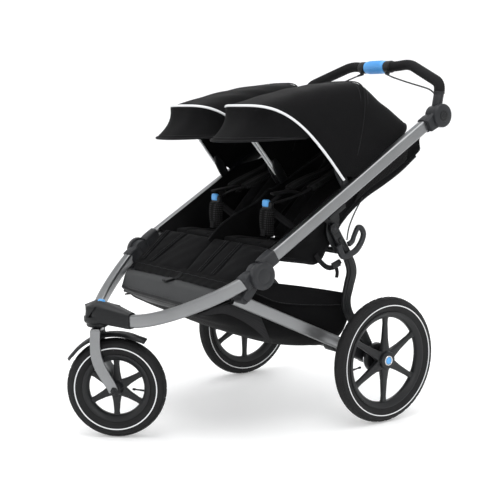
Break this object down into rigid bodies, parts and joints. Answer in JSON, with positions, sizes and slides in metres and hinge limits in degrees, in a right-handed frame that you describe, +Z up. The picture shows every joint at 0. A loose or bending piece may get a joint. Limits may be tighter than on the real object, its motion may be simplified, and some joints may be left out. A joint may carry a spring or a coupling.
{
  "type": "jogging stroller",
  "caption": "Side-by-side double jogging stroller: folding aluminium frame, swivelling front wheel, air tyres, reclining seats, canopies and under-seat basket.",
  "frame": {"origin": "centre of the bounding box's base, on the floor that the tyres stand on", "axes": "+Z up, -Y towards the front wheel, +Y towards the handlebar, +X towards the child's left"},
  "size_m": [0.785, 1.2363, 1.1465],
  "materials": {
    "tyre": "matt black rubber with a thin white reflective ring",
    "black_plastic": "fine-textured moulded",
    "silver_tube": "satin anodised",
    "steel": "plated",
    "blue_accent": "fine-textured moulded",
    "fabric": "woven polyester",
    "grey_board": "grained",
    "grip_foam": "foam-rubber sleeve",
    "cable_jacket": "smooth"
  },
  "bodies": {
    "lower_frame": {"lower_tube_left": "silver_tube", "lower_tube_right": "silver_tube", "fold_socket_left": "black_plastic", "fold_socket_right": "black_plastic", "head_housing": "black_plastic", "leg_pivot_bar": "steel", "footrest": "grey_board", "leg_flap": "fabric"},
    "swivel_lock": {"swivel_lock_knob": "blue_accent"},
    "caster": {"caster_fork": "silver_tube", "front_axle": "steel", "caster_stem": "steel", "mudguard": "black_plastic"},
    "front_wheel": {"front_tyre": "tyre", "front_rim": "black_plastic"},
    "rear_chassis": {"rear_leg_left": "silver_tube", "rear_leg_right": "silver_tube", "axle_housing_left": "black_plastic", "axle_housing_right": "black_plastic", "rear_axle": "silver_tube", "basket": "fabric"},
    "parking_brake": {"parking_pedal": "black_plastic"},
    "rear_wheel_left": {"rear_tyre_left": "tyre", "rear_rim_left": "black_plastic"},
    "rear_wheel_right": {"rear_tyre_right": "tyre", "rear_rim_right": "black_plastic"},
    "hub_release_left": {"hub_button_left": "blue_accent"},
    "hub_release_right": {"hub_button_right": "blue_accent"},
    "upper_frame": {"upper_tube_left": "silver_tube", "upper_tube_right": "silver_tube", "fold_hub_left": "black_plastic", "fold_hub_right": "black_plastic", "handle_hub_left": "black_plastic", "handle_hub_right": "black_plastic", "seat_cross_bar": "silver_tube", "strut_bracket_left": "black_plastic", "strut_bracket_right": "black_plastic", "seat_left": "fabric", "seat_right": "fabric", "seat_divider": "fabric", "canopy_hood_left": "fabric", "canopy_hood_right": "fabric", "buckle_left": "black_plastic", "buckle_right": "black_plastic"},
    "strut_left": {"strut_left": "black_plastic"},
    "strut_right": {"strut_right": "black_plastic"},
    "backrest_left": {"backrest_left": "fabric", "harness_left": "fabric"},
    "backrest_right": {"backrest_right": "fabric", "harness_right": "fabric"},
    "canopy_left": {"canopy_visor_left": "fabric"},
    "canopy_right": {"canopy_visor_right": "fabric"},
    "buckle_release_left": {"buckle_button_left": "blue_accent"},
    "buckle_release_right": {"buckle_button_right": "blue_accent"},
    "handlebar": {"handlebar": "grip_foam", "brake_cable_left": "cable_jacket", "brake_cable_right": "cable_jacket"},
    "handle_release_left": {"handle_button_left": "black_plastic"},
    "handle_release_right": {"handle_button_right": "black_plastic"},
    "brake_twist": {"brake_grip": "blue_accent"}
  },
  "joints": [
    {"name": "fold", "type": "hinge", "parent": "lower_frame", "child": "upper_frame", "pos_m": [0, -0.17864, 0.505], "axis": [1, 0, 0], "range_deg": [-128, 0], "deforming": ["leg_flap"]},
    {"name": "legs_fold", "type": "hinge", "parent": "lower_frame", "child": "rear_chassis", "pos_m": [0, -0.22465, 0.4365], "axis": [1, 0, 0], "range_deg": [-128, 0], "deforming": ["basket"]},
    {"name": "caster_swivel", "type": "hinge", "parent": "lower_frame", "child": "caster", "pos_m": [0, -0.52964, 0.34], "axis": [0, 0, 1], "continuous": true},
    {"name": "swivel_lock_turn", "type": "hinge", "parent": "lower_frame", "child": "swivel_lock", "pos_m": [0.004, -0.51765, 0.41], "axis": [0, 0, 1], "range_deg": [0, 90]},
    {"name": "front_wheel_spin", "type": "hinge", "parent": "caster", "child": "front_wheel", "pos_m": [0.03626, -0.48566, 0.152], "axis": [0.7716, -0.6361, 0], "continuous": true},
    {"name": "parking_brake_press", "type": "hinge", "parent": "rear_chassis", "child": "parking_brake", "pos_m": [0.125, 0.29035, 0.2], "axis": [1, 0, 0], "range_deg": [-25, 0]},
    {"name": "handle_angle", "type": "hinge", "parent": "upper_frame", "child": "handlebar", "pos_m": [0, 0.53118, 0.95999], "axis": [1, 0, 0], "range_deg": [-100, 10]},
    {"name": "brake_twist", "type": "hinge", "parent": "handlebar", "child": "brake_twist", "pos_m": [0, 0.59618, 1.12399], "axis": [1, 0, 0], "range_deg": [0, 60], "stiffness_Nm_per_rad": 0.3},
    {"name": "rear_wheel_left_spin", "type": "hinge", "parent": "rear_chassis", "child": "rear_wheel_left", "pos_m": [0.37, 0.29035, 0.2], "axis": [1, 0, 0], "continuous": true},
    {"name": "hub_release_left", "type": "slide", "parent": "rear_wheel_left", "child": "hub_release_left", "axis": [-1, 0, 0], "range_m": [0, 0.003], "stiffness_N_per_m": 400},
    {"name": "strut_fold_left", "type": "hinge", "parent": "upper_frame", "child": "strut_left", "pos_m": [0.2965, 0.13435, 0.619], "axis": [1, 0, 0], "range_deg": [0, 25]},
    {"name": "recline_left", "type": "hinge", "parent": "upper_frame", "child": "backrest_left", "pos_m": [0.139, 0.10035, 0.558], "axis": [1, 0, 0], "range_deg": [-20, 12]},
    {"name": "canopy_open_left", "type": "hinge", "parent": "upper_frame", "child": "canopy_left", "pos_m": [0.157, 0.16535, 0.745], "axis": [1, 0, 0], "range_deg": [-60, 0], "deforming": ["canopy_hood_left"]},
    {"name": "buckle_release_left", "type": "slide", "parent": "upper_frame", "child": "buckle_release_left", "axis": [0, 1, 0], "range_m": [0, 0.0025], "stiffness_N_per_m": 400},
    {"name": "handle_release_left", "type": "slide", "parent": "upper_frame", "child": "handle_release_left", "axis": [-1, 0, 0], "range_m": [0, 0.003], "stiffness_N_per_m": 400},
    {"name": "rear_wheel_right_spin", "type": "hinge", "parent": "rear_chassis", "child": "rear_wheel_right", "pos_m": [-0.37, 0.29035, 0.2], "axis": [1, 0, 0], "continuous": true},
    {"name": "hub_release_right", "type": "slide", "parent": "rear_wheel_right", "child": "hub_release_right", "axis": [1, 0, 0], "range_m": [0, 0.003], "stiffness_N_per_m": 400},
    {"name": "strut_fold_right", "type": "hinge", "parent": "upper_frame", "child": "strut_right", "pos_m": [-0.2965, 0.13435, 0.619], "axis": [1, 0, 0], "range_deg": [0, 25]},
    {"name": "recline_right", "type": "hinge", "parent": "upper_frame", "child": "backrest_right", "pos_m": [-0.139, 0.10035, 0.558], "axis": [1, 0, 0], "range_deg": [-20, 12]},
    {"name": "canopy_open_right", "type": "hinge", "parent": "upper_frame", "child": "canopy_right", "pos_m": [-0.157, 0.16535, 0.745], "axis": [1, 0, 0], "range_deg": [-60, 0], "deforming": ["canopy_hood_right"]},
    {"name": "buckle_release_right", "type": "slide", "parent": "upper_frame", "child": "buckle_release_right", "axis": [0, 1, 0], "range_m": [0, 0.0025], "stiffness_N_per_m": 400},
    {"name": "handle_release_right", "type": "slide", "parent": "upper_frame", "child": "handle_release_right", "axis": [1, 0, 0], "range_m": [0, 0.003], "stiffness_N_per_m": 400}
  ],
  "couplings": [
    {"joint": "legs_fold", "follows": "fold", "ratio": 0.985},
    {"joint": "strut_fold_left", "follows": "fold", "ratio": -0.19},
    {"joint": "strut_fold_right", "follows": "fold", "ratio": -0.19}
  ]
}
